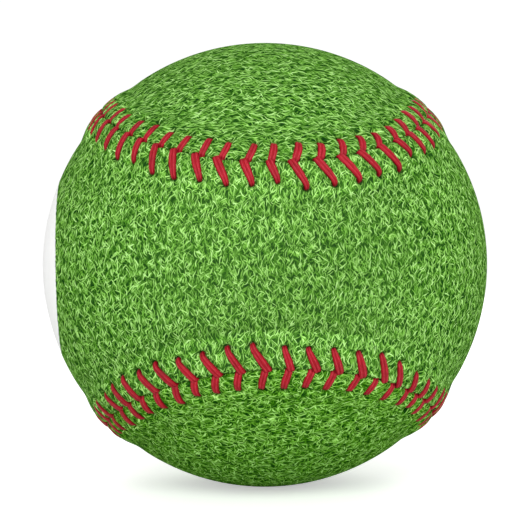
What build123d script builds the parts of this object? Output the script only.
from build123d import *
import os
from bisect import bisect_right
from math import sin, cos, tan, pi, sqrt

# Stitched leather baseball, modelled piece by piece from the core outwards.
# Frame: origin at the ball's centre, +Z up. The narrow waist of the front cover
# panel faces -Y, its two lobes wrap to +X and -X; the waist of the back panel
# faces +Y and its lobes are the top and the bottom of the ball.
# Millimetres, except running lengths along the seam, which are in ball radii.

# ------------------------------------------------------------------ dimensions
ball_d = 73.8             # over the leather, 9 1/8 in circumference
leather_t = 1.27          # 0.050 in full grain leather

cork_d = 20.64            # 13/16 in composition cork nucleus
black_t = 3.97            # 5/32 in black rubber hemispheres
gasket_t = 0.8            # red gasket between the hemispheres
gasket_gap = 0.05         # radial clearance at both rims of the gasket
red_t = 2.38              # 3/32 in red rubber layer
winding_1_d = 62.66       # 7 3/4 in circumference, 4-ply grey wool
winding_2_d = 66.18       # 8 3/16 in circumference, 3-ply white wool
winding_3_d = 70.10       # 3-ply grey wool
winding_4_d = 70.94       # fine white cotton finish
adhesive_t = 0.10         # latex coat
layer_gap = 0.02          # clearance between neighbouring layers

stitch_count = 108        # double stitches
stitch_phase = 0.65       # where the first pair of holes lies, in stitch pitches
hole_offset = 3.8         # stitch holes either side of the seam line
hole_d = 0.95
stitch_lean = 1.3         # how far the thread runs along the seam to its dive
dive_pitch = 1.0          # spacing of the two threads where they dive
slot_l = 1.95             # relief in the leather edges round a pair of dives
slot_w = 0.95
cutter_h = 6              # height of the hole and slot cutters
seam_gap = 0.30           # between the two leather edges
seam_overcut = 4          # how far the seam cut runs past the leather, each way

thread_d = 0.70           # waxed thread
thread_bend = 0.45        # bend radius of the thread's centre line
thread_lift = 0.06        # clearance between the thread and the ridge
run_start = 0.5           # where a stitch starts on its way to the hole, 0 to 1
first_run_start = 0.62    # the same for the first stitch, which leaves a gap

tunnel_h = 0.85           # room under the leather edge for the thread
tunnel_w = 9.2            # width of that room, across the seam
tunnel_wall = 3           # reach of the tunnel's wall either side of inner_r
ridge_h = 0.45            # how far the seam stands proud of the ball
ridge_w = 11.6            # width of the raised strip, across the seam
ridge_root = 0.4          # foot of the strip above the leather's inner face
ridge_wall = 3            # reach of the strip's wall beyond the ball

third_harmonic = 0.451    # of the seam curve
height_harmonic = 1.239   # of the seam curve
seam_samples = 8640       # points in the table of running lengths
tangent_step = 1e-4       # parameter step that gives the seam's tangent
wall_steps = 60           # facets along a quarter of the seam
wall_over = 0.12          # overrun of that quarter at each end, radians

ball_r = ball_d / 2
inner_r = ball_r - leather_t
cork_r = cork_d / 2
black_r = cork_r + black_t
thread_top_r = ball_r + ridge_h + thread_d / 2 + thread_lift
thread_low_r = inner_r + tunnel_h / 2


# --------------------------------------------------------------- seam geometry
def seam_direction(t):
    """Point of the seam on the unit sphere. The curve has fourfold
    rotary-reflection symmetry about Y."""
    x = cos(t) + third_harmonic * cos(3 * t)
    y = sin(t) - third_harmonic * sin(3 * t)
    z = height_harmonic * sin(2 * t)
    # An eighth of a turn about Z, then a quarter turn about X.
    x, y = sqrt(0.5) * (x - y), sqrt(0.5) * (x + y)
    return Vector(x, -z, y).normalized()


seam_table = [seam_direction(2 * pi * i / seam_samples) for i in range(seam_samples + 1)]
seam_run = [0.0]
for here, there in zip(seam_table, seam_table[1:]):
    seam_run.append(seam_run[-1] + (there - here).length)
seam_length = seam_run[-1]
pitch = seam_length / stitch_count


def seam_parameter(run):
    """Curve parameter at a running length, which may lie beyond either end."""
    run = run % seam_length
    i = bisect_right(seam_run, run) - 1
    fraction = (run - seam_run[i]) / (seam_run[i + 1] - seam_run[i])
    return 2 * pi * (i + fraction) / seam_samples


def seam_tangent(t):
    return (seam_direction(t + tangent_step) - seam_direction(t - tangent_step)).normalized()


def seam_point(t, sideways, r):
    """Point at radius r, offset towards the front panel by sideways
    (measured on the ball)."""
    outward = seam_direction(t)
    side = outward.cross(seam_tangent(t)).normalized()
    angle = sideways / ball_r
    return (outward * cos(angle) + side * sin(angle)) * r


def point_at(run, sideways, r):
    return seam_point(seam_parameter(run), sideways, r)


def hole_run(i):
    """Running length of stitch i's pair of holes."""
    return (i + stitch_phase) * pitch


def surface_plane(run, sideways):
    """Plane on the ball's surface: x along the seam, z outwards."""
    point = point_at(run, sideways, ball_r)
    return Plane(origin=point, x_dir=seam_tangent(seam_parameter(run)), z_dir=point)


def seam_wall(width, low_r, high_r):
    """Solid strip that follows a little over a quarter of the seam, from radius
    low_r to high_r. Its sides are short radial facets, which meet the ball's
    spheres in arcs."""
    t_start, t_end = -pi / 4 - wall_over, pi / 4 + wall_over
    half_w = width / 2
    # Corners of a cross-section: low back, low front, high front, high back.
    corners = [(-half_w, low_r), (half_w, low_r), (half_w, high_r), (-half_w, high_r)]
    rows = []
    for i in range(wall_steps + 1):
        t = t_start + (t_end - t_start) * i / wall_steps
        rows.append([seam_point(t, sideways, r) for sideways, r in corners])

    outlines = [rows[0], rows[-1]]
    for row, next_row in zip(rows, rows[1:]):
        low_back, low_front, high_front, high_back = row
        next_low_back, next_low_front, next_high_front, next_high_back = next_row
        outlines += [
            (low_front, next_low_front, next_high_front, high_front),
            (low_back, next_low_back, next_high_back, high_back),
            (low_back, low_front, next_low_front),
            (low_back, next_low_front, next_low_back),
            (high_back, high_front, next_high_front),
            (high_back, next_high_front, next_high_back),
        ]
    faces = [Face(Wire.make_polygon(points, close=True)) for points in outlines]
    return Solid(Shell(faces))


# -------------------------------------------------------------------- the core
def make_cork():
    with BuildPart() as cork:
        Sphere(cork_r)
    return cork.part


def make_half_shell(side, keep):
    """Black rubber hemisphere, above (side 1) or below (side -1) the gasket."""
    with BuildPart() as shell:
        Sphere(black_r)
        Sphere(cork_r + layer_gap, mode=Mode.SUBTRACT)
        split(bisect_by=Plane.XY.offset(side * (gasket_t / 2 + layer_gap)), keep=keep)
    return shell.part


def make_gasket():
    with BuildPart() as gasket:
        with BuildSketch(Plane.XY.offset(-gasket_t / 2)):
            Circle(black_r - gasket_gap)
            Circle(cork_r + gasket_gap, mode=Mode.SUBTRACT)
        extrude(amount=gasket_t)
    return gasket.part


# ---------------------------------------------------------- the closed layers
# Name and outer radius, from the inside out. Each layer starts one clearance
# outside the one before it, the first of them outside the black hemispheres.
layers = [
    ("outer_rubber_shell", black_r + red_t),
    ("winding_1_grey_wool", winding_1_d / 2),
    ("winding_2_white_wool", winding_2_d / 2),
    ("winding_3_grey_wool", winding_3_d / 2),
    ("winding_4_cotton", winding_4_d / 2),
    ("adhesive_coat", winding_4_d / 2 + layer_gap + adhesive_t),
]


def make_layer(outer, inner):
    with BuildPart() as layer:
        Sphere(outer)
        Sphere(inner, mode=Mode.SUBTRACT)
    return layer.part


# ------------------------------------------------------------------- the cover
def make_cover_quarter():
    """Leather shell with a raised strip along the seam, a tunnel for the threads
    under that strip, parted along the seam. Returns the front panel's share."""
    with BuildPart() as ridge:
        add(seam_wall(ridge_w, inner_r + ridge_root, ball_r + ridge_wall))
        Sphere(ball_r + ridge_h, rotation=(90, 0, 0), mode=Mode.INTERSECT)

    with BuildPart() as tunnel:
        add(seam_wall(tunnel_w, inner_r - tunnel_wall, inner_r + tunnel_wall))
        Sphere(inner_r + tunnel_h, rotation=(90, 0, 0), mode=Mode.INTERSECT)

    seam_cut = seam_wall(seam_gap, inner_r - seam_overcut, ball_r + seam_overcut)
    with BuildPart() as quarter:
        Sphere(ball_r, rotation=(90, 0, 0))
        split(bisect_by=Plane.XY, keep=Keep.TOP)
        split(bisect_by=Plane.YZ, keep=Keep.TOP)
        add(ridge.part)
        Sphere(inner_r, rotation=(90, 0, 0), mode=Mode.SUBTRACT)
        add(tunnel.part, mode=Mode.SUBTRACT)
        add(seam_cut, mode=Mode.SUBTRACT)
        # The walls overrun the quarter, so it is trimmed again.
        split(bisect_by=Plane.XY, keep=Keep.TOP)
        split(bisect_by=Plane.YZ, keep=Keep.TOP)
    return quarter.part.solids().sort_by(Axis.Y)[0]


def make_front_panel():
    """The bare panel mirrors across the XY and YZ planes; its holes and edge
    slots don't, so they are cut after the mirroring."""
    front_quarter = make_cover_quarter()
    runs = [hole_run(i) for i in range(stitch_count)]
    holes = [surface_plane(run, hole_offset) for run in runs]
    edge_slots = [surface_plane(run + stitch_lean / ball_r, 0) for run in runs]

    with BuildPart() as panel:
        add(front_quarter)
        mirror(about=Plane.YZ)
        mirror(about=Plane.XY)
        with Locations(*holes):
            Cylinder(hole_d / 2, cutter_h, mode=Mode.SUBTRACT)
        with Locations(*edge_slots):
            Box(slot_l, slot_w, cutter_h, mode=Mode.SUBTRACT)
    return panel.part


def make_back_panel(front):
    """A quarter turn about Y and a mirror in the XZ plane carry the seam, its
    holes and the front panel onto the seam, its holes and the back panel."""
    blank = front.rotate(Axis.Y, -90).mirror(Plane.XZ)
    with BuildPart() as panel:
        add(blank.solids(), clean=False)
    return panel.part


# ----------------------------------------------------------------- the threads
# Each thread crosses from one panel to the other at every stitch, and the two
# mirror each other, which makes the herringbone. A thread's two ends lie under
# the cover with a short gap between them.
def stitch_path(i, k):
    """Centre line of stitch i of thread k, as corner points: under the cover,
    up through a hole, over the leather to the seam, down between the two
    leather edges and under the other panel towards its next hole."""
    offset = hole_offset if (i + k) % 2 == 0 else -hole_offset
    run = hole_run(i)
    dive_run = run + (stitch_lean + (k - 0.5) * dive_pitch) / ball_r
    hole_low = point_at(run, offset, thread_low_r)
    hole_top = point_at(run, offset, thread_top_r)
    dive_top = point_at(dive_run, 0, thread_top_r)
    dive_low = point_at(dive_run, 0, thread_low_r)
    last_low = point_at(dive_run - pitch, 0, thread_low_r)
    next_low = point_at(run + pitch, -offset, thread_low_r)
    start = first_run_start if i == 0 else run_start
    return [
        last_low + (hole_low - last_low) * start,
        hole_low,
        hole_top,
        dive_top,
        dive_low,
        (dive_low + next_low) / 2,
    ]


def rounded_wire(points, radius):
    """Polyline with every corner rounded by an arc of the given radius."""
    edges = []
    last = points[0]
    for before, corner, after in zip(points, points[1:], points[2:]):
        back = (before - corner).normalized()
        ahead = (after - corner).normalized()
        half_angle = back.get_angle(ahead) * pi / 360
        arc_start = corner + back * (radius / tan(half_angle))
        arc_end = corner + ahead * (radius / tan(half_angle))
        arc_middle = corner + (back + ahead).normalized() * (radius / sin(half_angle) - radius)
        edges.append(Edge.make_line(last, arc_start))
        edges.append(Edge.make_three_point_arc(arc_start, arc_middle, arc_end))
        last = arc_end
    edges.append(Edge.make_line(last, points[-1]))
    return Wire(edges)


def make_thread(k):
    stitches = []
    for i in range(stitch_count):
        path = rounded_wire(stitch_path(i, k), thread_bend)
        start_plane = Plane(origin=path @ 0, z_dir=path % 0)
        section = Face(Wire.make_circle(thread_d / 2, start_plane))
        stitches.append(Solid.sweep(section, path))

    with BuildPart() as thread:
        add(stitches)
    return thread.part


# ------------------------------------------------------------------ the export
def save(part, name):
    part.label = name
    export_step(part, f"parts/{name}.step")


os.makedirs("parts", exist_ok=True)
save(make_cork(), "cork_centre")
save(make_half_shell(1, Keep.TOP), "inner_rubber_shell_upper")
save(make_half_shell(-1, Keep.BOTTOM), "inner_rubber_shell_lower")
save(make_gasket(), "shell_gasket")

layer_below_r = black_r
for layer_name, layer_r in layers:
    save(make_layer(layer_r, layer_below_r + layer_gap), layer_name)
    layer_below_r = layer_r

front_panel = make_front_panel()
save(front_panel, "cover_panel_front")
save(make_back_panel(front_panel), "cover_panel_back")

for k in range(2):
    save(make_thread(k), f"seam_thread_{k + 1}")
